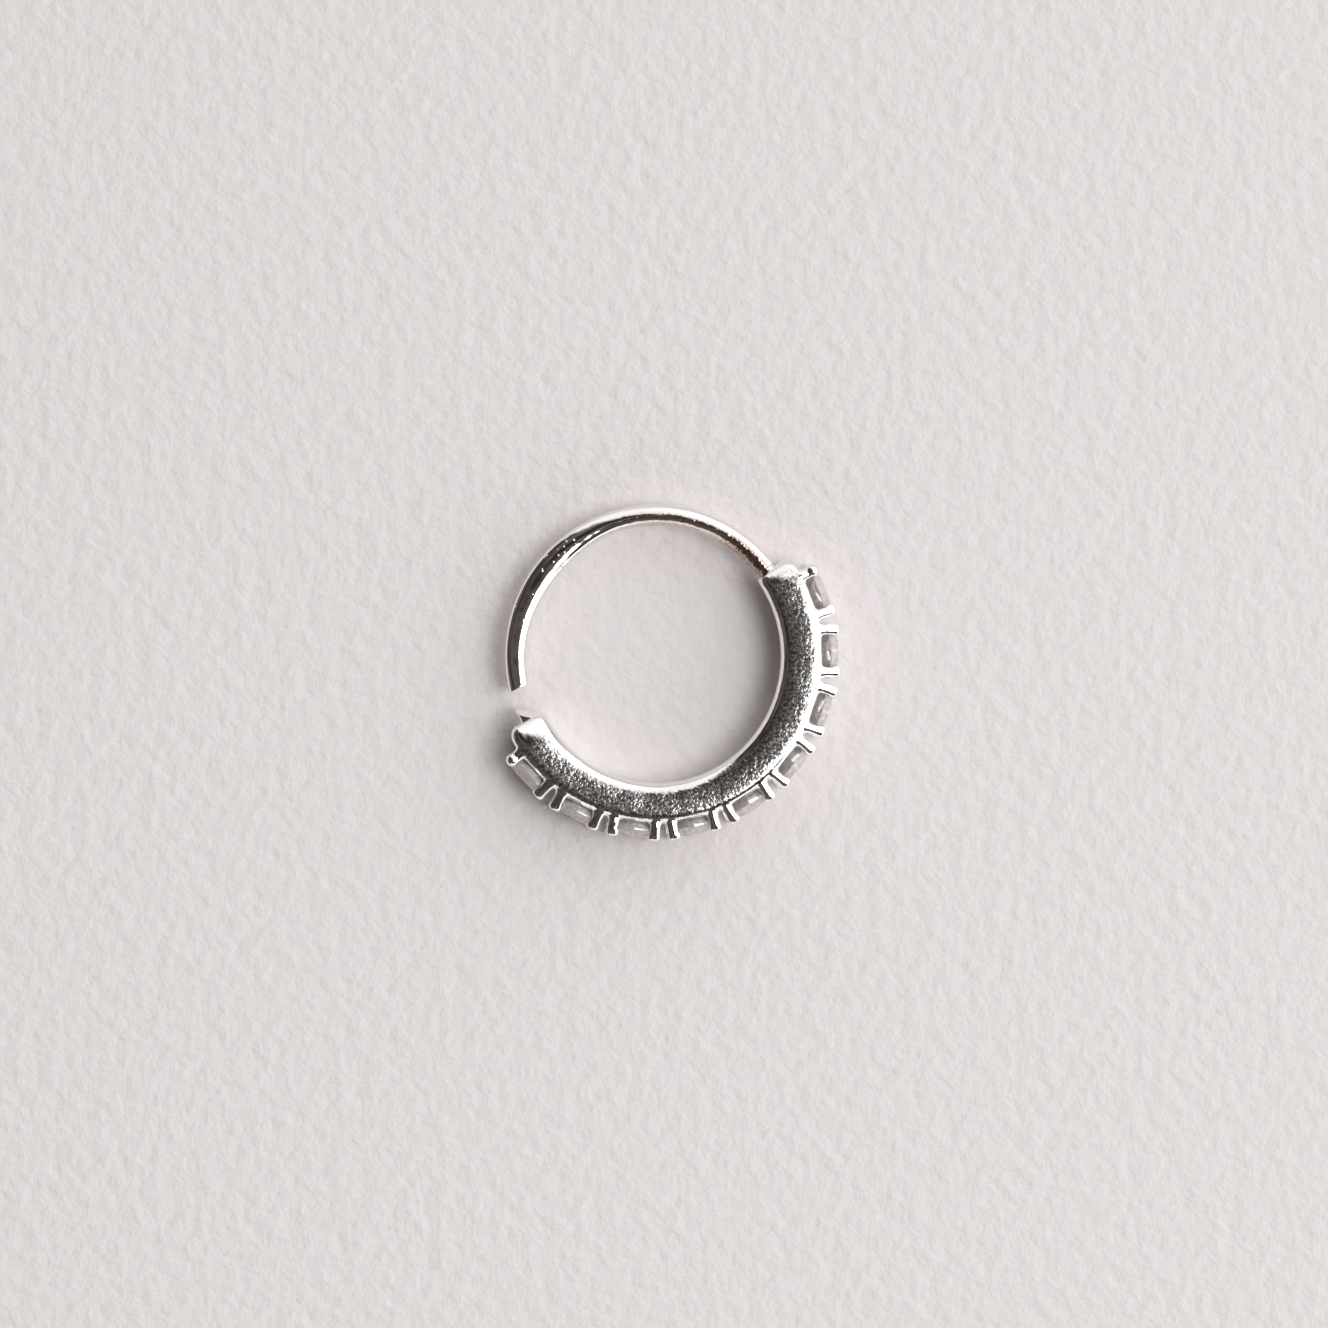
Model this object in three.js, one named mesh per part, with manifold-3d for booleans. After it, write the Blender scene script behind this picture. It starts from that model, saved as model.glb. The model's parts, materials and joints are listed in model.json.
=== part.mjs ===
// A nose ring: an open silver hoop, thin wire over one half and a thick bar over the other,
// with nine round stones set along the bar's outer rim.
// Millimetres. The hoop lies on its side in the XY plane, with +Z up.
// Angles are in degrees, anticlockwise from +X, seen from above.

import * as THREE from 'three';
import { mergeVertices } from 'three/addons/utils/BufferGeometryUtils.js';
import Module from 'manifold-3d';

// Driving dimensions of the bar
const BAR_WIDTH = 1.64; // along Z
const BAR_INNER_RADIUS = 3.96;
const BAR_OUTER_RADIUS = 5.17;
const BAR_FROM = 206.5;
const BAR_TO = 397;
const BAR_OUTER_EDGE = 0.2; // radius of the rounded outer edges
const BAR_INNER_EDGE = 0.28;
const BAR_INNER_CROWN = 0.05; // bulge of the inner face, comfortable on the skin
const BAR_END = { length: 0.4, outer: 0.37, width: 0.25, inner: 0.06 }; // rounding of the ends

// Driving dimensions of the wire
const WIRE_RADIUS = 0.32;
const WIRE_CENTRE = 4.36; // radius of the circle that its centre line follows
const WIRE_TO = 193.4;
const WIRE_CUT = 3.4; // slant of the free end, degrees per millimetre of radius
const WIRE_SIDES = 12;
const SEAM_RADIUS = 0.27; // the solder joint is a little thinner than the wire
const SEAM_TO = 38.3;
const STUB_TO = 203.8;
const STUB_CUT = -9;
const BURIED = 4; // degrees that wire and stub run on inside the bar

// Driving dimensions of the stones and their settings
const STONE_COUNT = 9;
const FIRST_STONE = 223;
const STONE_PITCH = 19.79;
const STONE_RADIUS = 0.8;
const GIRDLE_AT = 5.4; // distance of a stone's girdle from the hoop's centre
const SEAT_SCALE = 1.07; // the seat is the stone's own shape, this much larger
const PRONG_RADIUS = 0.18;
const PRONG_TIP = 5.71;
const PRONG_ALONG = 0.62; // a prong's place beside the stone's axis, along the rim
const PRONG_ACROSS = 0.635; // and across it, along Z
const SCALLOP_AT = 5.07; // lowest point of the rail's edge under a stone
const SCALLOP_HALF = 0.4;

// Proportions of a round brilliant, as parts of its radius
const TABLE_RADIUS = 0.56;
const STAR_RADIUS = 0.77;
const GIRDLE_HALF = 0.025;
const LOWER_POINT = 0.22;
const CROWN_ANGLE = 34.5;
const PAVILION_ANGLE = 40.8;

const wasm = await Module();
wasm.setup();

const silver = new THREE.MeshStandardMaterial({ name: 'silver', color: 0xc9c8c6, metalness: 1, roughness: 0.22 });
const clearStone = new THREE.MeshStandardMaterial({ name: 'clear_stone', color: 0xe9e8ea, metalness: 0, roughness: 0.05 });

// A point in the hoop's own round coordinates
function onHoop(angle, radius, z) {
  const a = THREE.MathUtils.degToRad(angle);
  return [radius * Math.cos(a), radius * Math.sin(a), z];
}

function closedMesh(points, triangles) {
  const geometry = new THREE.BufferGeometry();
  geometry.setAttribute('position', new THREE.Float32BufferAttribute(points.flat(), 3));
  geometry.setIndex(triangles.flat());
  return geometry;
}

// Joins equal outlines, each a ring of points, into one closed skin with flat ends
function loft(outlines) {
  const sides = outlines[0].length;
  const triangles = [];
  for (let i = 0; i < outlines.length - 1; i += 1) {
    for (let j = 0; j < sides; j += 1) {
      const a = i * sides + j;
      const b = i * sides + ((j + 1) % sides);
      triangles.push([a, a + sides, b], [b, a + sides, b + sides]);
    }
  }
  const last = (outlines.length - 1) * sides;
  for (let j = 1; j < sides - 1; j += 1) {
    triangles.push([0, j, j + 1], [last, last + j + 1, last + j]);
  }
  return closedMesh(outlines.flat(), triangles);
}

function arc(centreR, centreZ, radius, from, to, steps) {
  return Array.from({ length: steps + 1 }, (_, i) => {
    const a = THREE.MathUtils.degToRad(from + ((to - from) * i) / steps);
    return [centreR + radius * Math.cos(a), centreZ + radius * Math.sin(a)];
  });
}

// The bar's cross-section as [radius, z] points, drawn in by `inset` (0 along the bar, 1 at its end face)
function barSection(inset) {
  const inner = BAR_INNER_RADIUS + BAR_INNER_CROWN + BAR_END.inner * inset;
  const outer = BAR_OUTER_RADIUS - BAR_END.outer * inset;
  const half = BAR_WIDTH / 2 - BAR_END.width * inset;
  const i = BAR_INNER_EDGE;
  const o = BAR_OUTER_EDGE;
  return [
    ...arc(outer - o, half - o, o, 0, 90, 4),
    ...arc(inner + i, half - i, i, 90, 180, 4),
    [inner - BAR_INNER_CROWN, 0],
    ...arc(inner + i, i - half, i, 180, 270, 4),
    ...arc(outer - o, o - half, o, 270, 360, 4),
  ];
}

// The bar, swept round its arc, with both ends rounded off
function makeBar() {
  const stations = [];
  const perDegree = (Math.PI / 180) * WIRE_CENTRE;
  const endAngle = BAR_END.length / perDegree;
  const rounding = [0, 22.5, 45, 67.5, 90].map((a) => THREE.MathUtils.degToRad(a));
  for (const a of rounding) {
    stations.push([BAR_FROM + endAngle * (1 - Math.cos(a)), 1 - Math.sin(a)]);
  }
  const step = STONE_PITCH / 4;
  const first = FIRST_STONE - 2 * step;
  for (let angle = first; angle < BAR_TO - endAngle - 1; angle += step) {
    stations.push([angle, 0]);
  }
  for (const a of rounding.reverse()) {
    stations.push([BAR_TO - endAngle * (1 - Math.cos(a)), 1 - Math.sin(a)]);
  }
  return loft(stations.map(([angle, inset]) => barSection(inset).map(([r, z]) => onHoop(angle, r, z))));
}

// A round wire through stations of [angle, radius of the wire, slant in degrees per millimetre]
function makeRound(stations) {
  return loft(
    stations.map(([angle, radius, slant]) =>
      arc(0, 0, radius, 0, 360 - 360 / WIRE_SIDES, WIRE_SIDES - 1).map(([dr, z]) =>
        onHoop(angle + slant * dr, WIRE_CENTRE + dr, z),
      ),
    ),
  );
}

function makeWire() {
  const seam = BAR_TO - 360;
  const steps = 30;
  const stations = [
    [seam - BURIED, SEAM_RADIUS, 0],
    [SEAM_TO - 0.2, SEAM_RADIUS, 0],
    [SEAM_TO, WIRE_RADIUS, 0],
  ];
  for (let i = 1; i < steps; i += 1) {
    stations.push([SEAM_TO + ((WIRE_TO - SEAM_TO) * i) / steps, WIRE_RADIUS, 0]);
  }
  stations.push([WIRE_TO, WIRE_RADIUS, WIRE_CUT]);
  return makeRound(stations);
}

function makeStub() {
  return makeRound([
    [STUB_TO, WIRE_RADIUS, STUB_CUT],
    [BAR_FROM + BURIED, WIRE_RADIUS, 0],
  ]);
}

// A post with a domed tip, standing along the stone's axis
function makeProng() {
  const foot = BAR_OUTER_RADIUS - 0.3;
  const profile = [
    [0, foot],
    [PRONG_RADIUS, foot],
    [PRONG_RADIUS * 0.94, PRONG_TIP - 0.1],
    [PRONG_RADIUS * 0.72, PRONG_TIP - 0.03],
    [0, PRONG_TIP],
  ];
  const sides = 8;
  // The flats of the octagon face along and across the rim
  const corner = 1 / Math.cos(Math.PI / sides);
  const points = profile.map(([r, y]) => new THREE.Vector2(r * corner, y));
  const geometry = new THREE.LatheGeometry(points, sides);
  geometry.rotateY(Math.PI / sides);
  return geometry.rotateX(Math.PI / 2);
}

// A round brilliant about its girdle's centre, with its table towards +Z
function makeBrilliant(radius) {
  const crown = Math.tan(THREE.MathUtils.degToRad(CROWN_ANGLE));
  const pavilion = Math.tan(THREE.MathUtils.degToRad(PAVILION_ANGLE));
  const flat = Math.cos(Math.PI / 8);
  const rings = {
    table: [8, 0, TABLE_RADIUS, GIRDLE_HALF + (1 - TABLE_RADIUS) * crown],
    star: [8, 0.5, STAR_RADIUS, GIRDLE_HALF + (1 - STAR_RADIUS * flat) * crown],
    upper: [16, 0, 1, GIRDLE_HALF],
    lower: [16, 0, 1, -GIRDLE_HALF],
    point: [8, 0.5, LOWER_POINT, -GIRDLE_HALF - (1 - LOWER_POINT * flat) * pavilion],
    culet: [1, 0, 0, -GIRDLE_HALF - pavilion],
  };
  const points = [];
  const start = {};
  for (const [name, [count, turn, r, z]] of Object.entries(rings)) {
    start[name] = points.length;
    for (let i = 0; i < count; i += 1) {
      const a = ((i + turn) / count) * 2 * Math.PI;
      points.push([radius * r * Math.cos(a), radius * r * Math.sin(a), radius * z]);
    }
  }
  const at = (name, i) => start[name] + ((i + rings[name][0]) % rings[name][0]);
  const triangles = [];
  for (let i = 1; i < 7; i += 1) {
    triangles.push([at('table', 0), at('table', i), at('table', i + 1)]);
  }
  for (let i = 0; i < 8; i += 1) {
    const g = 2 * i;
    triangles.push([at('table', i), at('star', i), at('table', i + 1)]);
    triangles.push([at('table', i), at('star', i - 1), at('upper', g)]);
    triangles.push([at('table', i), at('upper', g), at('star', i)]);
    triangles.push([at('star', i), at('upper', g), at('upper', g + 1)]);
    triangles.push([at('star', i), at('upper', g + 1), at('upper', g + 2)]);
    triangles.push([at('point', i), at('lower', g + 1), at('lower', g)]);
    triangles.push([at('point', i), at('lower', g + 2), at('lower', g + 1)]);
    triangles.push([at('culet', 0), at('lower', g), at('point', i - 1)]);
    triangles.push([at('culet', 0), at('point', i), at('lower', g)]);
  }
  for (let i = 0; i < 16; i += 1) {
    triangles.push([at('lower', i), at('lower', i + 1), at('upper', i)]);
    triangles.push([at('upper', i), at('lower', i + 1), at('upper', i + 1)]);
  }
  return closedMesh(points, triangles).translate(0, 0, GIRDLE_AT);
}

// The shallow dip in the rail's outer edge, in the window between a stone's prongs
function makeScallop() {
  const edge = Math.sqrt(BAR_OUTER_RADIUS ** 2 - SCALLOP_HALF ** 2) + 0.01;
  const top = PRONG_TIP + 0.3;
  const shape = new THREE.Shape();
  shape.moveTo(-SCALLOP_HALF, top);
  shape.lineTo(-SCALLOP_HALF, edge);
  shape.quadraticCurveTo(0, 2 * SCALLOP_AT - edge, SCALLOP_HALF, edge);
  shape.lineTo(SCALLOP_HALF, top);
  const depth = BAR_WIDTH + 0.4;
  const geometry = new THREE.ExtrudeGeometry(shape, { depth, bevelEnabled: false, curveSegments: 6 });
  geometry.translate(0, 0, -depth / 2);
  return geometry.rotateX(Math.PI / 2);
}

// Turns what was made along +Z so that it stands out from the rim at a stone's angle
function atStone(geometry, index) {
  const a = THREE.MathUtils.degToRad(FIRST_STONE + STONE_PITCH * index);
  const along = new THREE.Vector3(-Math.sin(a), Math.cos(a), 0);
  const out = new THREE.Vector3(Math.cos(a), Math.sin(a), 0);
  const across = new THREE.Vector3(0, 0, 1);
  return geometry.clone().applyMatrix4(new THREE.Matrix4().makeBasis(along, across, out));
}

function toSolid(geometry) {
  const bare = geometry.clone();
  bare.deleteAttribute('normal');
  bare.deleteAttribute('uv');
  const merged = mergeVertices(bare, 1e-5);
  const vertProperties = Float32Array.from(merged.attributes.position.array);
  const triVerts = Uint32Array.from(merged.index.array);
  return new wasm.Manifold(new wasm.Mesh({ numProp: 3, vertProperties, triVerts }));
}

function toGeometry(solid) {
  const mesh = solid.getMesh();
  const geometry = new THREE.BufferGeometry();
  geometry.setAttribute('position', new THREE.BufferAttribute(mesh.vertProperties, 3));
  geometry.setIndex(new THREE.BufferAttribute(mesh.triVerts, 1));
  return geometry;
}

// The soldered metal: bar, wire, stub and prongs joined, then scallops and seats cut
function makeHoop() {
  let metal = toSolid(makeBar()).add(toSolid(makeWire())).add(toSolid(makeStub()));
  const prong = makeProng();
  const scallop = makeScallop();
  const seat = makeBrilliant(STONE_RADIUS).translate(0, 0, -GIRDLE_AT);
  seat.scale(SEAT_SCALE, SEAT_SCALE, SEAT_SCALE).translate(0, 0, GIRDLE_AT);
  for (let i = 0; i < STONE_COUNT; i += 1) {
    metal = metal.subtract(toSolid(atStone(scallop, i)));
    for (const along of [-PRONG_ALONG, PRONG_ALONG]) {
      for (const across of [-PRONG_ACROSS, PRONG_ACROSS]) {
        const placed = prong.clone().translate(along, across, 0);
        metal = metal.add(toSolid(atStone(placed, i)));
      }
    }
    metal = metal.subtract(toSolid(atStone(seat, i)));
  }
  return toGeometry(metal);
}

const ring = new THREE.Group();

function addPiece(name, geometry, material) {
  const mesh = new THREE.Mesh(geometry, material);
  mesh.name = name;
  ring.add(mesh);
}

addPiece('hoop', makeHoop(), silver);
const brilliant = makeBrilliant(STONE_RADIUS);
for (let i = 0; i < STONE_COUNT; i += 1) {
  addPiece(`stone_${i + 1}`, atStone(brilliant, i), clearStone);
}

// The origin is the middle of the underside of the whole ring's box
const box = new THREE.Box3().setFromObject(ring);
const middle = box.getCenter(new THREE.Vector3());
ring.position.set(-middle.x, -middle.y, -box.min.z);

export default ring;
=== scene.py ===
import json
import math

import bmesh
import bpy
import numpy as np
from mathutils import Matrix, Vector


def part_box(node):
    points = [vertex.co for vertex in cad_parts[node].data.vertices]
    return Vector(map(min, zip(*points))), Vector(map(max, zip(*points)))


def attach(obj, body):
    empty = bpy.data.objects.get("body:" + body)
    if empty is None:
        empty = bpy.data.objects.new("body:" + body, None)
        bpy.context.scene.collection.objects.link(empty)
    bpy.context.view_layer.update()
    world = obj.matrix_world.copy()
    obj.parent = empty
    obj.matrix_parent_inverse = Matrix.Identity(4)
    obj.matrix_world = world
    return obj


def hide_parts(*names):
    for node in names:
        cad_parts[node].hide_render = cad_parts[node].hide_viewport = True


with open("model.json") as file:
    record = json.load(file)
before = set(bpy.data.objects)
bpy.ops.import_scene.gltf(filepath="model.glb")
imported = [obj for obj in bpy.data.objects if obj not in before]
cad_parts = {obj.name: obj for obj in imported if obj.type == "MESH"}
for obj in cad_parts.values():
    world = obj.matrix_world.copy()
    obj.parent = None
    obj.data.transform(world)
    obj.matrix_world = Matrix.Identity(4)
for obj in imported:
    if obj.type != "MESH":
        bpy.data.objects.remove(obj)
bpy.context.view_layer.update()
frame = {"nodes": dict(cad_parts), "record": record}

# Where the hoop lies
# The ring lies on its side. Its round axis stands upright through the middle of the space that the record
# keeps open for the nostril, and its mid-plane is half way up the metal. Shapes are made here in
# millimetres about that axis and that mid-plane, and are put in their place at the end of their section.
hole_low, hole_high = frame["record"]["physics"]["openings"][0]["box_m"]
hoop_low, hoop_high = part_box("hoop")
MM = 0.001
hoop_axis = Vector(
    (
        (hole_low[0] + hole_high[0]) / 2,
        (hole_low[1] + hole_high[1]) / 2,
        (hoop_low[2] + hoop_high[2]) / 2,
    )
)


def into_scene(name, data):
    """A new object in the scene, from its mesh or its other data."""
    made = bpy.data.objects.new(name, data)
    bpy.context.scene.collection.objects.link(made)
    return made


def settle(thing):
    """Applies what modifiers make of an object, and takes the modifiers away."""
    bpy.context.view_layer.update()
    depsgraph = bpy.context.evaluated_depsgraph_get()
    mesh = bpy.data.meshes.new_from_object(thing.evaluated_get(depsgraph))
    thing.modifiers.clear()
    thing.data = mesh


def sweep(name, rings):
    """A closed skin through equal rings of points, with a flat face at each end."""
    count = len(rings[0])
    faces = []
    for i in range(len(rings) - 1):
        for j in range(count):
            k = (j + 1) % count
            faces.append((i * count + j, (i + 1) * count + j, (i + 1) * count + k, i * count + k))
    faces.append(tuple(range(count)))
    faces.append(tuple(reversed(range((len(rings) - 1) * count, len(rings) * count))))
    mesh = bpy.data.meshes.new(name)
    mesh.from_pydata([point for ring in rings for point in ring], [], faces)
    outwards = bmesh.new()
    outwards.from_mesh(mesh)
    bmesh.ops.recalc_face_normals(outwards, faces=outwards.faces)
    outwards.to_mesh(mesh)
    outwards.free()
    return into_scene(name, mesh)


def on_hoop(angle, radius, height):
    """A point by its angle in degrees, its distance from the hoop's axis and its height."""
    turn = math.radians(angle)
    return (radius * math.cos(turn), radius * math.sin(turn), height)


# The bar
# The thick lower half of the ring is one casting in silver, a rounded rail bent to the hoop's curve, wider
# than it is thick. Its inner face is crowned to sit easily on the skin, and both ends are rounded over and
# slope down to one corner.
BAR_HALF_WIDTH = (hoop_high[2] - hoop_low[2]) / MM / 2
BAR_OUTER = 5.20
BAR_INNER, BAR_INNER_FLATTER, FLATTER_POWER = 3.96, 0.10, 1.5
BAR_START, BAR_LOWEST, BAR_END = 206.5, 270.0, 397.0
INNER_ROUND, OUTER_ROUND = 0.29, 0.26
WORN_AT, WORN_LENGTH, WORN_ROUND = 221.0, 7.0, 0.16
INNER_CROWN, INNER_PLAIN_FROM, INNER_CROWN_FADE = 0.04, 345.0, 30.0
SIDE_CROWN, SIDE_CROWN_AT, SIDE_CROWN_REACH = 0.030, 4.76, 0.6
SIDE_FROM, SIDE_FADE = 0.5, 0.3
END_ROUND, END_OUTER_FALL, END_INNER_RISE = 0.42, 0.37, 0.05
END_EDGE = 0.20
END_TAPER, END_ASLANT = 1.35, 0.75
END_DROP, END_DROP_EASY, END_DROP_ROUND = 0.40, 0.4, 0.6
CORNER_STEPS, FACE_STEPS = 10, 6
END_RINGS, TAPER_RINGS, BAR_RINGS = 10, 8, 240


def rounding(part):
    """How far a quarter circle has fallen away at a part of its width."""
    return 1 - math.sqrt(1 - part**2)


def rail_ring(angle, from_start, from_far):
    """One cross-section of the rail, at a distance in millimetres from either end."""
    half = BAR_HALF_WIDTH
    from_end = min(from_start, from_far)
    cut_off = rounding(1 - min(1, from_end / END_ROUND))
    edge_drop = END_EDGE * rounding(1 - min(1, from_end / END_EDGE))
    crown = INNER_CROWN * min(1, max(0, (INNER_PLAIN_FROM - angle) / INNER_CROWN_FADE))
    outer = BAR_OUTER - END_OUTER_FALL * cut_off
    inner = BAR_INNER + crown + END_INNER_RISE * cut_off
    inner -= BAR_INNER_FLATTER * abs(math.sin(math.radians(angle - BAR_LOWEST))) ** FLATTER_POWER
    inner_round = INNER_ROUND + WORN_ROUND * math.exp(-(((angle - WORN_AT) / WORN_LENGTH) ** 2))
    corners = (
        (outer - OUTER_ROUND, half - OUTER_ROUND, OUTER_ROUND, 0),
        (inner + inner_round, half - inner_round, inner_round, 90),
        (inner + inner_round, inner_round - half, inner_round, 180),
        (outer - OUTER_ROUND, OUTER_ROUND - half, OUTER_ROUND, 270),
    )
    section = []
    for index, (radius, height, size, first) in enumerate(corners):
        for step in range(CORNER_STEPS + 1):
            turn = math.radians(first + 90 * step / CORNER_STEPS)
            section.append((radius + size * math.cos(turn), height + size * math.sin(turn)))
        leave = section[-1]
        after = corners[(index + 1) % 4]
        arrive = (after[0] + after[2] * math.cos(turn), after[1] + after[2] * math.sin(turn))
        for step in range(1, FACE_STEPS):
            part = step / FACE_STEPS
            section.append(tuple(a + (b - a) * part for a, b in zip(leave, arrive)))
    ring = []
    for radius, height in section:
        across = min(1, abs(height) / half)
        fall = SIDE_CROWN * (min(0, radius - SIDE_CROWN_AT) / SIDE_CROWN_REACH) ** 2
        if radius < inner + inner_round:
            radius -= crown * (1 - across**2)
        height -= math.copysign(fall * min(1, max(0, across - SIDE_FROM) / SIDE_FADE), height)
        aslant = (radius - inner) if from_start < from_far else (outer - radius)
        corner = 1 - min(1, max(0, from_end + END_ASLANT * aslant) / END_TAPER)
        drop = END_DROP * (END_DROP_EASY * corner**2 + END_DROP_ROUND * rounding(corner))
        ring.append(on_hoop(angle, radius, height * (1 - (edge_drop + drop) / half)))
    return ring


mean_radius = (BAR_INNER + BAR_OUTER) / 2
bar_length = math.radians(BAR_END - BAR_START) * mean_radius
near_end = []
for step in range(END_RINGS + 1):
    near_end.append(END_ROUND * (1 - math.cos(math.radians(90 * step / END_RINGS))))
for step in range(1, TAPER_RINGS):
    near_end.append(END_ROUND + (END_TAPER - END_ROUND) * step / TAPER_RINGS)
between_ends = list(np.linspace(END_TAPER, bar_length - END_TAPER, BAR_RINGS))
places = near_end + between_ends + [bar_length - place for place in reversed(near_end)]
bar = sweep(
    "set_bar",
    [
        rail_ring(BAR_START + math.degrees(place / mean_radius), place, bar_length - place)
        for place in places
    ],
)

# The silver is polished and mirrors what is round it. The sides of the bar were left as they came from the
# mould, with a fine pitted grain that breaks the reflection into dark and bright specks; the dark specks are
# deepened by painted shade in the low places of the grain. Every silver piece keeps for its points how
# grainy, burnt and pitted they are, and the finish reads those values.
SILVER_COLOUR, BURNT_COLOUR, SHADE_IN_HOLLOWS_COLOUR = (0.93, 0.915, 0.90), (0.60, 0.44, 0.37), (0.0, 0.0, 0.0)
POLISHED, GRAINY = 0.06, 0.15
GRAIN_FINENESS, GRAIN_DEPTH = 10500, 0.0064
HOLLOW_FROM, HOLLOW_TO, HOLLOW_SHADE = 0.66, 0.32, 0.78
SCALE_FINENESS, SCALE_DEPTH = 5500, 0.022
WAVE_FINENESS, WAVE_DEPTH = 1800, 0.014
PIT_FINENESS, PIT_DEPTH, PIT_EDGE, PIT_FLOOR = 5000, 0.02, 0.19, 0.06


def calculate(tree, how, first, second):
    """One sum, from numbers or from what other nodes give."""
    step = tree.nodes.new("ShaderNodeMath")
    step.operation = how
    for socket, value in zip(step.inputs, (first, second)):
        if isinstance(value, (int, float)):
            socket.default_value = value
        else:
            tree.links.new(value, socket)
    return step.outputs["Value"]


def kept_value(tree, name):
    """What the points of the mesh keep under a name."""
    reads = tree.nodes.new("ShaderNodeAttribute")
    reads.attribute_name = name
    return reads.outputs["Fac"]


def noise_of(tree, place, scale, detail):
    """A soft random pattern."""
    made = tree.nodes.new("ShaderNodeTexNoise")
    made.inputs["Scale"].default_value = scale
    made.inputs["Detail"].default_value = detail
    tree.links.new(place, made.inputs["Vector"])
    return made.outputs["Fac"]


def cells_of(tree, place, scale):
    """Random cells, each with a colour of its own and the distance from its middle."""
    made = tree.nodes.new("ShaderNodeTexVoronoi")
    made.inputs["Scale"].default_value = scale
    tree.links.new(place, made.inputs["Vector"])
    return made.outputs


def ramp(tree, value, low, high, bottom=0.0, top=1.0):
    """Goes smoothly from bottom to top while a value goes from low to high."""
    made = tree.nodes.new("ShaderNodeMapRange")
    made.interpolation_type = "SMOOTHSTEP"
    made.inputs["From Min"].default_value = low
    made.inputs["From Max"].default_value = high
    made.inputs["To Min"].default_value = bottom
    made.inputs["To Max"].default_value = top
    tree.links.new(value, made.inputs["Value"])
    return made.outputs["Result"]


def mixed(tree, part, first, second, clamped=True):
    """A colour between two, each given as a colour or by another node."""
    mix = tree.nodes.new("ShaderNodeMix")
    mix.data_type = "RGBA"
    mix.clamp_factor = clamped
    tree.links.new(part, mix.inputs["Factor"])
    for name, colour in (("A", first), ("B", second)):
        if isinstance(colour, tuple):
            mix.inputs[name].default_value = (*colour, 1)
        else:
            tree.links.new(colour, mix.inputs[name])
    return mix.outputs["Result"]


def raise_relief(tree, height, strength, distance):
    """Tilts the surface by a pattern of heights, whose unit is a distance in metres."""
    bump = tree.nodes.new("ShaderNodeBump")
    bump.inputs["Strength"].default_value = strength
    bump.inputs["Distance"].default_value = distance
    tree.links.new(height, bump.inputs["Height"])
    tree.links.new(bump.outputs["Normal"], tree.nodes["Principled BSDF"].inputs["Normal"])


silver = bpy.data.materials.new("cast_silver")
silver.use_nodes = True
tree = silver.node_tree
shader = tree.nodes["Principled BSDF"]
place = tree.nodes.new("ShaderNodeTexCoord").outputs["Object"]
grainy, burnt, pitted = [kept_value(tree, name) for name in ("grain", "burnt", "pitted")]
shader.inputs["Metallic"].default_value = 1.0
dull = calculate(tree, "MULTIPLY", grainy, GRAINY - POLISHED)
tree.links.new(calculate(tree, "ADD", dull, POLISHED), shader.inputs["Roughness"])
grains = noise_of(tree, place, GRAIN_FINENESS, 2)
grain = calculate(tree, "MULTIPLY", calculate(tree, "MULTIPLY", grains, GRAIN_DEPTH), grainy)
scales = noise_of(tree, place, SCALE_FINENESS, 2)
scale = calculate(tree, "MULTIPLY", calculate(tree, "MULTIPLY", scales, SCALE_DEPTH), burnt)
waves = calculate(tree, "MULTIPLY", noise_of(tree, place, WAVE_FINENESS, 1), WAVE_DEPTH)
pits = ramp(tree, cells_of(tree, place, PIT_FINENESS)["Distance"], PIT_EDGE, PIT_FLOOR)
pits = calculate(tree, "MULTIPLY", calculate(tree, "MULTIPLY", pits, PIT_DEPTH), pitted)
relief = calculate(tree, "ADD", calculate(tree, "ADD", grain, scale), calculate(tree, "ADD", waves, pits))
raise_relief(tree, relief, 1.0, MM)
heat = mixed(tree, burnt, SILVER_COLOUR, BURNT_COLOUR)
# Painted shade: where the grain's pattern is low, the base colour is darkened towards black, standing in for
# the shade in the grain's hollows.
painted_shade_in_hollows = calculate(
    tree, "MULTIPLY", ramp(tree, grains, HOLLOW_FROM, HOLLOW_TO, 0.0, HOLLOW_SHADE), grainy
)
tree.links.new(mixed(tree, painted_shade_in_hollows, heat, SHADE_IN_HOLLOWS_COLOUR), shader.inputs["Base Color"])

# The prongs
# Each stone is held by four short posts of the same casting, one at each corner. Their feet flare into the
# rail, and the posts lean in a little and taper to tips that were pressed down over the stone's edge.
STONES = sorted((n for n in frame["nodes"] if n.startswith("stone_")), key=lambda n: int(n[6:]))
FIRST_STONE, STONE_PITCH = 223.0, 19.79
PRONG_ALONG = 0.65
PRONG_PROFILE = (
    # distance from the hoop's axis, half size along the rim, middle across it, half size across it
    (4.80, 0.230, 0.610, 0.170),
    (5.00, 0.225, 0.610, 0.170),
    (5.10, 0.212, 0.609, 0.169),
    (5.18, 0.198, 0.606, 0.166),
    (5.25, 0.188, 0.602, 0.163),
    (5.34, 0.190, 0.596, 0.157),
    (5.50, 0.198, 0.582, 0.145),
    (5.62, 0.202, 0.570, 0.134),
    (5.675, 0.184, 0.565, 0.118),
    (5.705, 0.138, 0.562, 0.086),
    (5.715, 0.060, 0.561, 0.042),
)
PRONG_SIDES = 24


def prong_ring(out, along, middle, across, side):
    """One section of a prong above the hoop's mid-plane, or below it with a side of -1."""
    ring = []
    for step in range(PRONG_SIDES):
        turn = 2 * math.pi * step / PRONG_SIDES
        ring.append((along * math.cos(turn), middle * side + across * math.sin(turn), out))
    return ring


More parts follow.
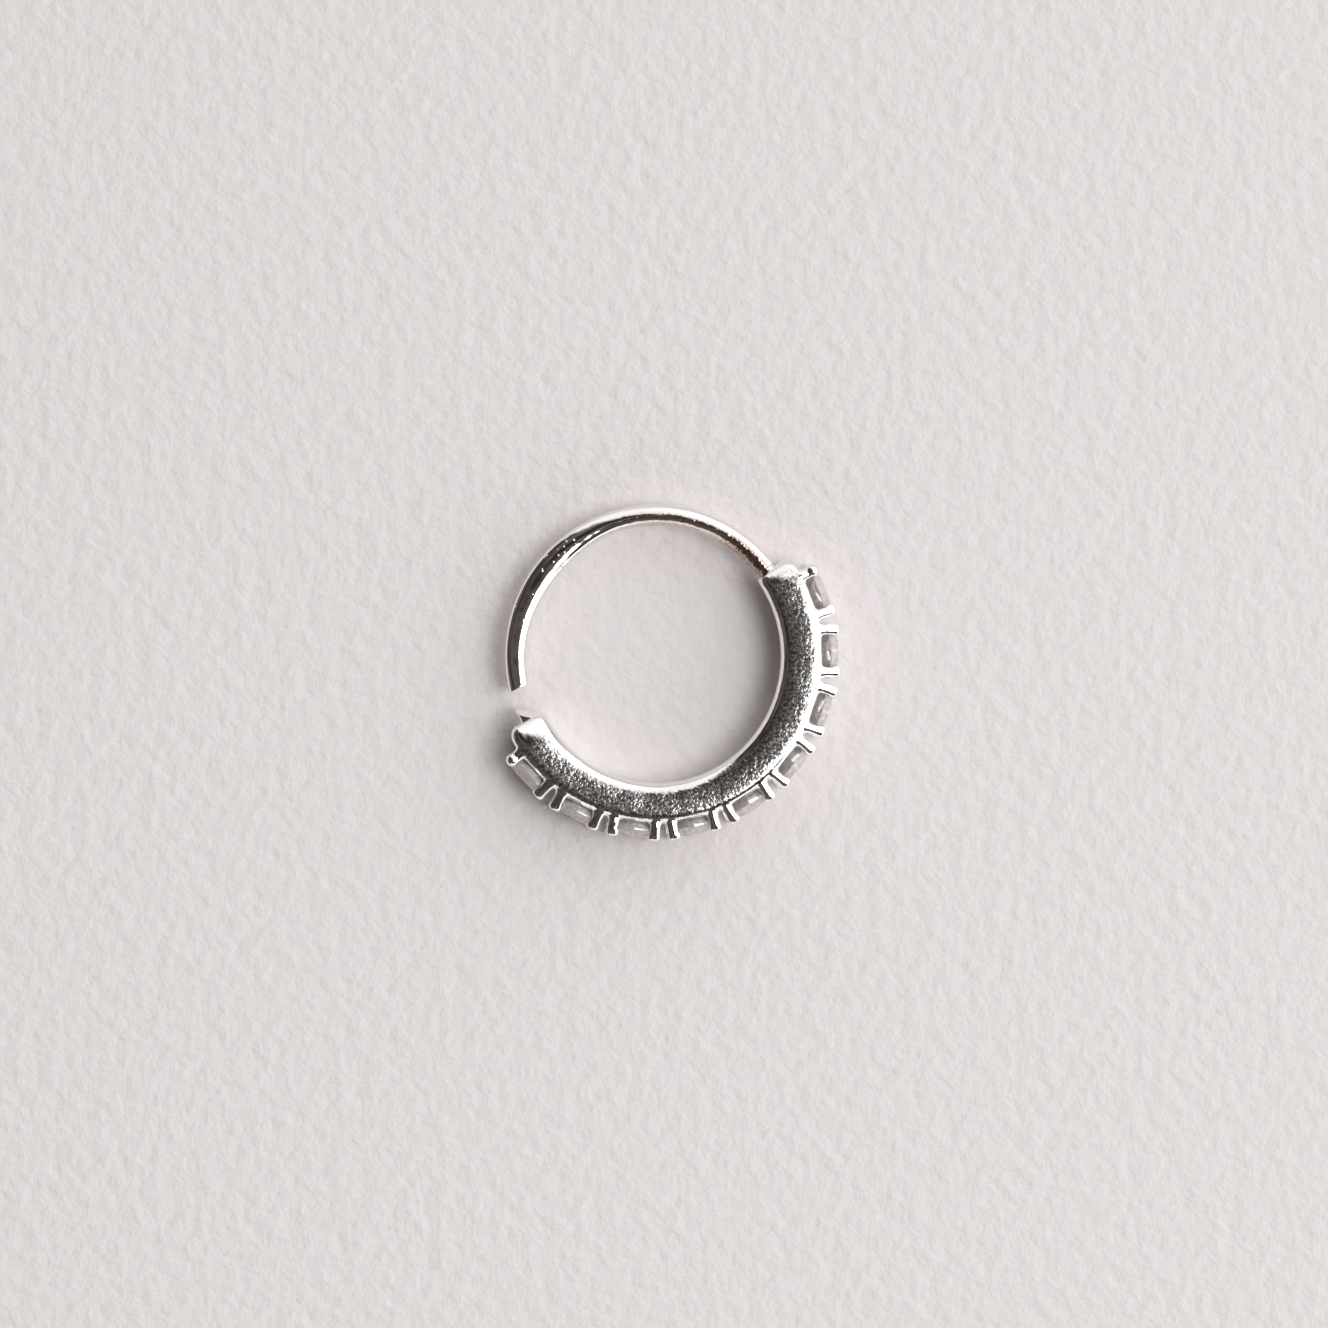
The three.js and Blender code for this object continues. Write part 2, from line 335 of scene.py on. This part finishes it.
def prong_tree():
    """The pair of prongs at both ends of a stone, and those at every stone's place round the rim."""
    tree = bpy.data.node_groups.new("prongs_round_the_rim", "GeometryNodeTree")
    tree.interface.new_socket("Geometry", in_out="INPUT", socket_type="NodeSocketGeometry")
    tree.interface.new_socket("Geometry", in_out="OUTPUT", socket_type="NodeSocketGeometry")
    tree.interface.new_socket("Stones", in_out="INPUT", socket_type="NodeSocketInt")
    tree.interface.new_socket("First Stone", in_out="INPUT", socket_type="NodeSocketFloat")
    tree.interface.new_socket("Pitch", in_out="INPUT", socket_type="NodeSocketFloat")
    tree.interface.new_socket("Along", in_out="INPUT", socket_type="NodeSocketFloat")
    tree.interface.new_socket("Finish", in_out="INPUT", socket_type="NodeSocketMaterial")
    nodes, links = tree.nodes, tree.links
    given = nodes.new("NodeGroupInput")
    result = nodes.new("NodeGroupOutput")
    ends = nodes.new("GeometryNodeMeshLine")
    ends.inputs["Count"].default_value = 2
    for times, socket in ((-1, "Start Location"), (2, "Offset")):
        along = nodes.new("ShaderNodeCombineXYZ")
        links.new(calculate(tree, "MULTIPLY", given.outputs["Along"], times), along.inputs["X"])
        links.new(along.outputs["Vector"], ends.inputs[socket])
    four = nodes.new("GeometryNodeInstanceOnPoints")
    links.new(ends.outputs["Mesh"], four.inputs["Points"])
    links.new(given.outputs["Geometry"], four.inputs["Instance"])
    stones = nodes.new("GeometryNodeMeshLine")
    stones.inputs["Offset"].default_value = (0, 0, 0)
    links.new(given.outputs["Stones"], stones.inputs["Count"])
    number = nodes.new("GeometryNodeInputIndex").outputs["Index"]
    turned = calculate(tree, "MULTIPLY", number, given.outputs["Pitch"])
    turned = calculate(tree, "ADD", turned, given.outputs["First Stone"])
    facing = nodes.new("ShaderNodeCombineXYZ")
    facing.inputs["X"].default_value = math.pi / 2
    links.new(calculate(tree, "ADD", turned, math.pi / 2), facing.inputs["Z"])
    everywhere = nodes.new("GeometryNodeInstanceOnPoints")
    links.new(stones.outputs["Mesh"], everywhere.inputs["Points"])
    links.new(four.outputs["Instances"], everywhere.inputs["Instance"])
    links.new(facing.outputs["Vector"], everywhere.inputs["Rotation"])
    real = nodes.new("GeometryNodeRealizeInstances")
    finish = nodes.new("GeometryNodeSetMaterial")
    links.new(everywhere.outputs["Instances"], real.inputs["Geometry"])
    links.new(real.outputs["Geometry"], finish.inputs["Geometry"])
    links.new(given.outputs["Finish"], finish.inputs["Material"])
    links.new(finish.outputs["Geometry"], result.inputs["Geometry"])
    return tree


prongs = sweep("prongs", [prong_ring(*row, 1) for row in PRONG_PROFILE])
lower = sweep("lower_prong", [prong_ring(*row, -1) for row in PRONG_PROFILE])
pair = bmesh.new()
pair.from_mesh(prongs.data)
pair.from_mesh(lower.data)
pair.to_mesh(prongs.data)
pair.free()
bpy.data.objects.remove(lower)
growing = prongs.modifiers.new("prongs", "NODES")
growing.node_group = prong_tree()
prong_inputs = {
    "Stones": len(STONES),
    "First Stone": math.radians(FIRST_STONE),
    "Pitch": math.radians(STONE_PITCH),
    "Along": PRONG_ALONG,
    "Finish": silver,
}
for socket in growing.node_group.interface.items_tree:
    if socket.in_out == "INPUT" and socket.name in prong_inputs:
        growing[socket.identifier] = prong_inputs[socket.name]
settle(prongs)

# The seats
# Under each stone the rail's edge dips in a shallow scallop between the prongs, and a tapered hole is bored
# for the stone's point. The hole and the notches in the prongs follow the stone's own facets, a little
# larger.
SEAT_SCALE = 1.07
SCALLOP_FLOOR, SCALLOP_RISE, SCALLOP_LIP = 5.18, 0.04, 0.10
SCALLOP_HALF, SCALLOP_STEPS = 0.43, 24
CUTTER_TOP, CUTTER_HALF_WIDTH = 6.2, 1.2


def upright_on_rim(angle):
    """Carries a shape made round +Z out to the rim, facing away from the hoop's axis."""
    return Matrix.Rotation(math.radians(angle + 90), 4, "Z") @ Matrix.Rotation(math.pi / 2, 4, "X")


def scallop(angle):
    """What is cut out of the rail's edge under one stone."""
    outline = []
    for step in range(SCALLOP_STEPS + 1):
        along = SCALLOP_HALF * (2 * step / SCALLOP_STEPS - 1)
        part = abs(along) / SCALLOP_HALF
        outline.append((along, SCALLOP_FLOOR + SCALLOP_RISE * part**2 + SCALLOP_LIP * part**8))
    outline += [(SCALLOP_HALF, CUTTER_TOP), (-SCALLOP_HALF, CUTTER_TOP)]
    carry = upright_on_rim(angle)
    rings = []
    for across in (CUTTER_HALF_WIDTH, -CUTTER_HALF_WIDTH):
        rings.append([tuple(carry @ Vector((along, across, out))) for along, out in outline])
    return sweep("scallop", rings)


def seat(node):
    """What a stone needs to sit in, its own shape made a little larger about its middle."""
    cutter = into_scene("seat", frame["nodes"][node].data.copy())
    low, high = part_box(node)
    centre = ((low + high) / 2 - hoop_axis) / MM
    shape = bmesh.new()
    shape.from_mesh(cutter.data)
    bmesh.ops.remove_doubles(shape, verts=shape.verts, dist=1e-7)
    for vert in shape.verts:
        point = (vert.co - hoop_axis) / MM
        vert.co = centre + (point - centre) * SEAT_SCALE
    shape.to_mesh(cutter.data)
    shape.free()
    return cutter


def fuse(thing, other, how):
    """Adds another closed solid to a thing, or cuts it away, and removes it from the scene."""
    join = thing.modifiers.new("join", "BOOLEAN")
    join.operation = how
    join.solver = "MANIFOLD"
    join.object = other
    settle(thing)
    bpy.data.objects.remove(other)


for number in range(len(STONES)):
    fuse(bar, scallop(FIRST_STONE + STONE_PITCH * number), "DIFFERENCE")
fuse(bar, prongs, "UNION")

# The end prongs
# The prongs at both ends of the row stand free on one side. They are a little shorter than the others, and
# their tips were melted into small balls. The stones' seats are cut last, through prongs and balls alike.
BALL_RADIUS = 0.215
BALL_OUT, BALL_UP, BALL_ASIDE = 5.46, 0.58, 0.665
TIP_CUT = 0.6


def solid(fill, place):
    """A closed solid in the scene that a bmesh operator makes, carried to its place."""
    shape = bmesh.new()
    fill(shape)
    bmesh.ops.transform(shape, matrix=place, verts=shape.verts)
    mesh = bpy.data.meshes.new("solid")
    shape.to_mesh(mesh)
    shape.free()
    return into_scene("solid", mesh)


def cut_block(shape):
    bmesh.ops.create_cube(shape, size=TIP_CUT)


def melted_ball(shape):
    bmesh.ops.create_icosphere(shape, subdivisions=4, radius=BALL_RADIUS)


last_stone = FIRST_STONE + STONE_PITCH * (len(STONES) - 1)
for angle, side in ((FIRST_STONE, -1), (last_stone, 1)):
    for up in (-BALL_UP, BALL_UP):
        tip = upright_on_rim(angle) @ Matrix.Translation((side * BALL_ASIDE, up, BALL_OUT))
        above = tip @ Matrix.Translation((0, 0, TIP_CUT / 2))
        fuse(bar, solid(cut_block, above), "DIFFERENCE")
        fuse(bar, solid(melted_ball, tip), "UNION")
for node in STONES:
    fuse(bar, seat(node), "DIFFERENCE")

# The casting's skin
# Bar and prongs leave the mould as one piece, so every corner between them is a small fillet, and the
# polish has worn the edges round. The skin is remade finely here and relaxed to give them that. The flat
# sides between the polished edges keep the mould's grain.
SKIN = 0.036
SIDE_EDGE_FROM, SIDE_EDGE_TO = 0.25, 0.10
GRAIN_INNER, GRAIN_INNER_LESS, GRAIN_INNER_LESS_OVER = 4.24, 0.13, (290.0, 330.0)
GRAIN_OUTER, GRAIN_OUTER_LESS, GRAIN_OUTER_LESS_OVER = 5.07, 0.07, (280.0, 310.0)
GRAIN_SOFT = (-0.08, 0.06)
GRAIN_CLEAR_START, GRAIN_CLEAR_END = (0.30, 1.0), (0.15, 0.6)
remade = bar.modifiers.new("skin", "REMESH")
remade.mode = "VOXEL"
remade.voxel_size = SKIN
remade.adaptivity = 0.02
relaxed = bar.modifiers.new("worn", "SMOOTH")
relaxed.factor = 0.5
relaxed.iterations = 3
settle(bar)


def fade(values, low, high):
    """Nought below low, one above high and smooth between."""
    part = np.clip((values - low) / (high - low), 0, 1)
    return part * part * (3 - 2 * part)


def mark(thing, name, values):
    """Keeps a number for every point of a mesh, which the finish reads."""
    layer = thing.data.attributes.new(name, "FLOAT", "POINT")
    layer.data.foreach_set("value", np.asarray(values, dtype=np.float32))


def polar(thing):
    """Angle in degrees, distance from the axis and height of every point of a mesh."""
    count = len(thing.data.vertices)
    flat = np.zeros(count * 3)
    thing.data.vertices.foreach_get("co", flat)
    x, y, z = flat.reshape(count, 3).T
    return np.degrees(np.arctan2(y, x)) % 360, np.hypot(x, y), z


def place_mesh(thing):
    """Moves a shape from millimetres about the hoop's axis to its place in the frame, in metres."""
    thing.data.transform(Matrix.Translation(hoop_axis) @ Matrix.Scale(MM, 4))
    thing.data.polygons.foreach_set("use_smooth", [True] * len(thing.data.polygons))
    thing.data.update()


angle, radius, height = polar(bar)
angle = np.where(angle < 90, angle + 360, angle)
from_start = np.radians(angle - BAR_START) * mean_radius
from_end = np.radians(BAR_END - angle) * mean_radius
grain_from = GRAIN_INNER - GRAIN_INNER_LESS * fade(angle, *GRAIN_INNER_LESS_OVER)
grain_to = GRAIN_OUTER - GRAIN_OUTER_LESS * fade(angle, *GRAIN_OUTER_LESS_OVER)
grainy = fade(np.abs(height), BAR_HALF_WIDTH - SIDE_EDGE_FROM, BAR_HALF_WIDTH - SIDE_EDGE_TO)
grainy *= fade(radius - grain_from, *GRAIN_SOFT) * fade(grain_to - radius, *GRAIN_SOFT)
grainy *= fade(from_start, *GRAIN_CLEAR_START) * fade(from_end, *GRAIN_CLEAR_END)
mark(bar, "grain", grainy)
place_mesh(bar)
bar.data.materials.clear()
bar.data.materials.append(silver)
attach(bar, "root")
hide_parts("hoop")

# The wire
# The other half is a drawn silver wire, round where it is soldered to the bar's right end, with a fine groove
# left at the joint. Bending over a mandrel has pressed its sides flat and swelled it inwards on the way to
# the left, where it was nipped off. The solder's heat left it rough and brown near the joint.
WIRE_CENTRE, WIRE_RADIUS, WIRE_SIDES, WIRE_RINGS = 4.36, 0.32, 48, 260
WIRE_IN_BAR = 4.0
SEAM_END, SEAM_RADIUS, BEFORE_SEAM, AFTER_SEAM = 38.3, 0.27, 0.4, 1.0
SHOULDER_START, SHOULDER_LENGTH, SHOULDER_STEPS = 38.2, 0.6, 5
SWELL_AT, SWELL_LENGTH, SWELL = 139.0, 28.0, 0.07
ROUND, PRESSED = 2.0, 3.2
PRESSED_FROM, PRESSED_TO = 95.0, 165.0
WIRE_END, WIRE_SLANT, SLANT_LENGTH, SLANT_STEPS = 193.4, 3.4, 3.0, 5
NIP_LENGTH, NIP_ROUND, NIP_STEPS = 0.25, 0.03, 4
BURNT_MUCH_TO, BURNT_LITTLE_TO, BURNT_INSIDE = (54.0, 64.0), (85.0, 120.0), (4.38, 4.50)
BURNT_GRAIN = 0.6
PITTED_FROM, PITTED_TO = (118.0, 128.0), (150.0, 172.0)


def wire_ring(angle, radius, slant=0.0, roundness=ROUND, swell=0.0, lean=0.0):
    """A section of the wire, a circle at roundness 2 and squarer above it."""
    ring = []
    for side in range(WIRE_SIDES):
        turn = 2 * math.pi * side / WIRE_SIDES
        c, s = math.cos(turn), math.sin(turn)
        out = (radius + swell) * math.copysign(abs(c) ** (2 / roundness), c)
        up = radius * math.copysign(abs(s) ** (2 / roundness), s)
        ring.append(on_hoop(angle + slant * out + lean * up, WIRE_CENTRE - swell + out, up))
    return ring


def along_wire(angle, shrink=0.0, slant=0.0):
    """The section that the bent wire has at an angle."""
    swell = SWELL * math.exp(-(((angle - SWELL_AT) / SWELL_LENGTH) ** 2))
    roundness = ROUND + (PRESSED - ROUND) * fade(angle, PRESSED_FROM, PRESSED_TO)
    return wire_ring(angle, WIRE_RADIUS - shrink, slant, roundness, swell)


def nipped(step):
    """At a step of a nipped end's rounding, the degrees it has run on and the millimetres it is thinner."""
    turn = math.radians(90 * step / NIP_STEPS)
    return NIP_LENGTH * math.sin(turn), NIP_ROUND * (1 - math.cos(turn))


wire_rings = []
for angle in (BAR_END - 360 - WIRE_IN_BAR, SEAM_END - BEFORE_SEAM):
    wire_rings.append(wire_ring(angle, SEAM_RADIUS))
for step in range(SHOULDER_STEPS + 1):
    turn = math.radians(90 * step / SHOULDER_STEPS)
    angle = SHOULDER_START + SHOULDER_LENGTH * (1 - math.cos(turn))
    wire_rings.append(wire_ring(angle, SEAM_RADIUS + (WIRE_RADIUS - SEAM_RADIUS) * math.sin(turn)))
for angle in np.linspace(SEAM_END + AFTER_SEAM, WIRE_END - SLANT_LENGTH, WIRE_RINGS):
    wire_rings.append(along_wire(angle))
for step in range(1, SLANT_STEPS + 1):
    part = step / SLANT_STEPS
    angle = WIRE_END - SLANT_LENGTH + (SLANT_LENGTH - NIP_LENGTH) * part
    wire_rings.append(along_wire(angle, 0.0, WIRE_SLANT * part))
for step in range(1, NIP_STEPS + 1):
    run, shrink = nipped(step)
    wire_rings.append(along_wire(WIRE_END - NIP_LENGTH + run, shrink, WIRE_SLANT))
wire = sweep("back_wire", wire_rings)
angle, radius, height = polar(wire)
burnt = 1 - (fade(angle, *BURNT_MUCH_TO) + fade(angle, *BURNT_LITTLE_TO)) / 2
burnt *= 1 - fade(radius, *BURNT_INSIDE)
mark(wire, "grain", BURNT_GRAIN * burnt)
mark(wire, "burnt", burnt)
mark(wire, "pitted", fade(angle, *PITTED_FROM) * (1 - fade(angle, *PITTED_TO)))
place_mesh(wire)
wire.data.materials.append(silver)
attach(wire, "root")
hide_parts("hoop")

# The stub
# A short end of the same wire stays on the bar's left end, nipped off on the slant. The ring is put on by
# easing this gap open and closed again.
STUB_START, STUB_STEPS = 204.2, 8
STUB_SLANT, STUB_LEAN = -8.5, 5.0
stub_rings = []
for step in range(NIP_STEPS, 0, -1):
    run, shrink = nipped(step)
    angle = STUB_START + NIP_LENGTH - run
    stub_rings.append(wire_ring(angle, WIRE_RADIUS - shrink, STUB_SLANT, PRESSED, 0.0, STUB_LEAN))
for step in range(STUB_STEPS + 1):
    part = step / STUB_STEPS
    angle = STUB_START + NIP_LENGTH + (BAR_START + WIRE_IN_BAR - STUB_START) * part
    slant, lean = STUB_SLANT * (1 - part), STUB_LEAN * (1 - part)
    stub_rings.append(wire_ring(angle, WIRE_RADIUS, slant, PRESSED, 0.0, lean))
stub = sweep("cut_stub", stub_rings)
place_mesh(stub)
stub.data.materials.append(silver)
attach(stub, "root")
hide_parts("hoop")

# The stones
# Nine round brilliants of clear cubic zirconia, each cut with a table and rings of facets above and below
# its girdle. They sit in their seats under the prongs. The light and shade of the back facets, seen through
# the stone, are painted into its colour as a mosaic of brighter and dimmer patches.
LIT_FACET_COLOUR, SHADED_FACET_COLOUR = (1.0, 0.96, 0.94), (0.70, 0.63, 0.60)
MOSAIC_FINENESS, DIM_TO, BRIGHT_FROM = 10500, 0.15, 0.85
STONE_REFRACTION, STONE_CLEARNESS = 2.15, 0.5
crystal = bpy.data.materials.new("clear_crystal")
crystal.use_nodes = True
tree = crystal.node_tree
shader = tree.nodes["Principled BSDF"]
place = tree.nodes.new("ShaderNodeTexCoord").outputs["Object"]
# Painted reflection: the base colour is a mosaic of brighter and dimmer patches, standing in for the lit and
# shaded back facets seen through the stone.
painted_facet_light = tree.nodes.new("ShaderNodeValToRGB")
for stop, at, colour in zip(painted_facet_light.color_ramp.elements, (DIM_TO, BRIGHT_FROM), (SHADED_FACET_COLOUR, LIT_FACET_COLOUR)):
    stop.position = at
    stop.color = (*colour, 1)
tree.links.new(cells_of(tree, place, MOSAIC_FINENESS)["Color"], painted_facet_light.inputs["Fac"])
tree.links.new(painted_facet_light.outputs["Color"], shader.inputs["Base Color"])
shader.inputs["Roughness"].default_value = 0.0
shader.inputs["IOR"].default_value = STONE_REFRACTION
shader.inputs["Transmission Weight"].default_value = STONE_CLEARNESS
for node in STONES:
    for slot in frame["nodes"][node].material_slots:
        slot.material = crystal

# The paper
# The ring lies on a large sheet of pale, slightly warm paper. It is matt, uncoated stock with a fine tooth
# from the felts that it was pressed between.
SHEET_HALF = 0.5
PAPER_COLOUR, PAPER_ROUGHNESS, PAPER_GLOSS = (0.80, 0.757, 0.760), 0.95, 0.1
TOOTH_FINENESS, TOOTH_DETAIL, TOOTH_STRENGTH, TOOTH_DEPTH = 1900, 5, 0.85, 0.0001
sheet = bpy.data.meshes.new("paper")
sheet_corners = [(SHEET_HALF * x, SHEET_HALF * y, 0) for x, y in ((-1, -1), (1, -1), (1, 1), (-1, 1))]
sheet.from_pydata(sheet_corners, [], [(0, 1, 2, 3)])
paper = into_scene("paper", sheet)
tooth = bpy.data.materials.new("paper")
tooth.use_nodes = True
tree = tooth.node_tree
shader = tree.nodes["Principled BSDF"]
shader.inputs["Base Color"].default_value = (*PAPER_COLOUR, 1)
shader.inputs["Roughness"].default_value = PAPER_ROUGHNESS
shader.inputs["Specular IOR Level"].default_value = PAPER_GLOSS
place = tree.nodes.new("ShaderNodeTexCoord").outputs["Object"]
raise_relief(tree, noise_of(tree, place, TOOTH_FINENESS, TOOTH_DETAIL), TOOTH_STRENGTH, TOOTH_DEPTH)
paper.data.materials.append(tooth)

# The room
# Daylight fills the side of the room to the right of and above the ring, and a little comes from the front.
# The ceiling and the other side are dark and brownish, which is what the upper faces of the silver mirror.
DAY_TOWARDS, DAY_TILT, DAY_EDGE = math.radians(38), math.radians(11), (-0.04, 0.12)
DAY_ACROSS, DAY_LEFT, DAY_RIGHT = (-0.1, 0.5), 0.86, 1.25
FRONT_TOWARDS, FRONT_EDGE = (0.26, -0.97, 0), (0.52, 0.72)
FRONT_TOP, FRONT_STRENGTH = (0.62, 0.48), 0.9
DAY_COLOUR = (1.17, 1.152, 1.147)
DARK_COLOUR, DIM_COLOUR = (0.026, 0.020, 0.018), (0.125, 0.106, 0.098)
CLUTTER_FINENESS, CLUTTER_EDGE = 2.4, (0.38, 0.66)
world = bpy.data.worlds.new("room")
bpy.context.scene.world = world
world.use_nodes = True
tree = world.node_tree
around = tree.nodes.new("ShaderNodeTexCoord").outputs["Generated"]


def towards(direction):
    """How much a ray goes in a direction, from -1 to 1."""
    dot = tree.nodes.new("ShaderNodeVectorMath")
    dot.operation = "DOT_PRODUCT"
    dot.inputs[1].default_value = direction
    tree.links.new(around, dot.inputs[0])
    return dot.outputs["Value"]


day = Vector((math.cos(DAY_TOWARDS), math.sin(DAY_TOWARDS), 0)) * math.cos(DAY_TILT)
day.z = -math.sin(DAY_TILT)
day_side = ramp(tree, towards(day), *DAY_EDGE)
day_strength = ramp(tree, towards((1, 0, 0)), *DAY_ACROSS, DAY_LEFT, DAY_RIGHT)
front_height = ramp(tree, towards((0, 0, 1)), *FRONT_TOP, 0.0, FRONT_STRENGTH)
front_side = ramp(tree, towards(FRONT_TOWARDS), *FRONT_EDGE)
daylight = calculate(tree, "MULTIPLY", day_side, day_strength)
front_light = calculate(tree, "MULTIPLY", front_height, front_side)
bright = calculate(tree, "MAXIMUM", daylight, front_light)
clutter = ramp(tree, noise_of(tree, around, CLUTTER_FINENESS, 1), *CLUTTER_EDGE)
shade = mixed(tree, clutter, DARK_COLOUR, DIM_COLOUR)
room_colour = mixed(tree, bright, shade, DAY_COLOUR, clamped=False)
tree.links.new(room_colour, tree.nodes["Background"].inputs["Color"])

# The lamp
# One soft box with a round front hangs high on the right. It lights the paper and throws the ring's short
# soft shadow to the left.
LAMP_TOWARDS, LAMP_FROM_ZENITH = math.radians(-10), math.radians(24.5)
LAMP_DISTANCE, LAMP_SIZE, LAMP_RADIANCE = 0.27, 0.149, 5.1
lamp_data = bpy.data.lights.new("soft_box", "AREA")
lamp_data.shape = "DISK"
lamp_data.size = LAMP_SIZE
lamp_data.energy = LAMP_RADIANCE * math.pi * math.pi * (LAMP_SIZE / 2) ** 2
lamp = into_scene("soft_box", lamp_data)
lamp.location = hoop_axis + LAMP_DISTANCE * Vector(
    (
        math.sin(LAMP_FROM_ZENITH) * math.cos(LAMP_TOWARDS),
        math.sin(LAMP_FROM_ZENITH) * math.sin(LAMP_TOWARDS),
        math.cos(LAMP_FROM_ZENITH),
    )
)
lamp.rotation_euler = (lamp.location - hoop_axis).to_track_quat("Z", "Y").to_euler()
lamp.visible_camera = False

# The camera
# It looks almost straight down on the ring, from a little to the left, as the photograph does, with the
# ring's axis a little left of and above the middle of the picture.
PICTURE_WIDTH_MM, SENSOR_WIDTH_MM = 41.18, 36
AXIS_LEFT_MM, AXIS_UP_MM, AIM_ABOVE_MM = 0.248, 0.264, 0.3
CAMERA_DISTANCE = 0.16
CAMERA_LEAN = math.radians(3)
camera_data = bpy.data.cameras.new("camera")
camera_data.sensor_width = SENSOR_WIDTH_MM
camera_data.lens = SENSOR_WIDTH_MM * CAMERA_DISTANCE / (PICTURE_WIDTH_MM * MM)
camera_data.clip_start = 0.001
camera_data.clip_end = 5
camera = into_scene("camera", camera_data)
aim = hoop_axis + Vector((AXIS_LEFT_MM * MM, -AXIS_UP_MM * MM, AIM_ABOVE_MM * MM))
camera.location = aim + CAMERA_DISTANCE * Vector((-math.sin(CAMERA_LEAN), 0, math.cos(CAMERA_LEAN)))
camera.rotation_euler = (0, -CAMERA_LEAN, 0)
bpy.context.scene.camera = camera
bpy.context.scene.view_settings.view_transform = "Standard"
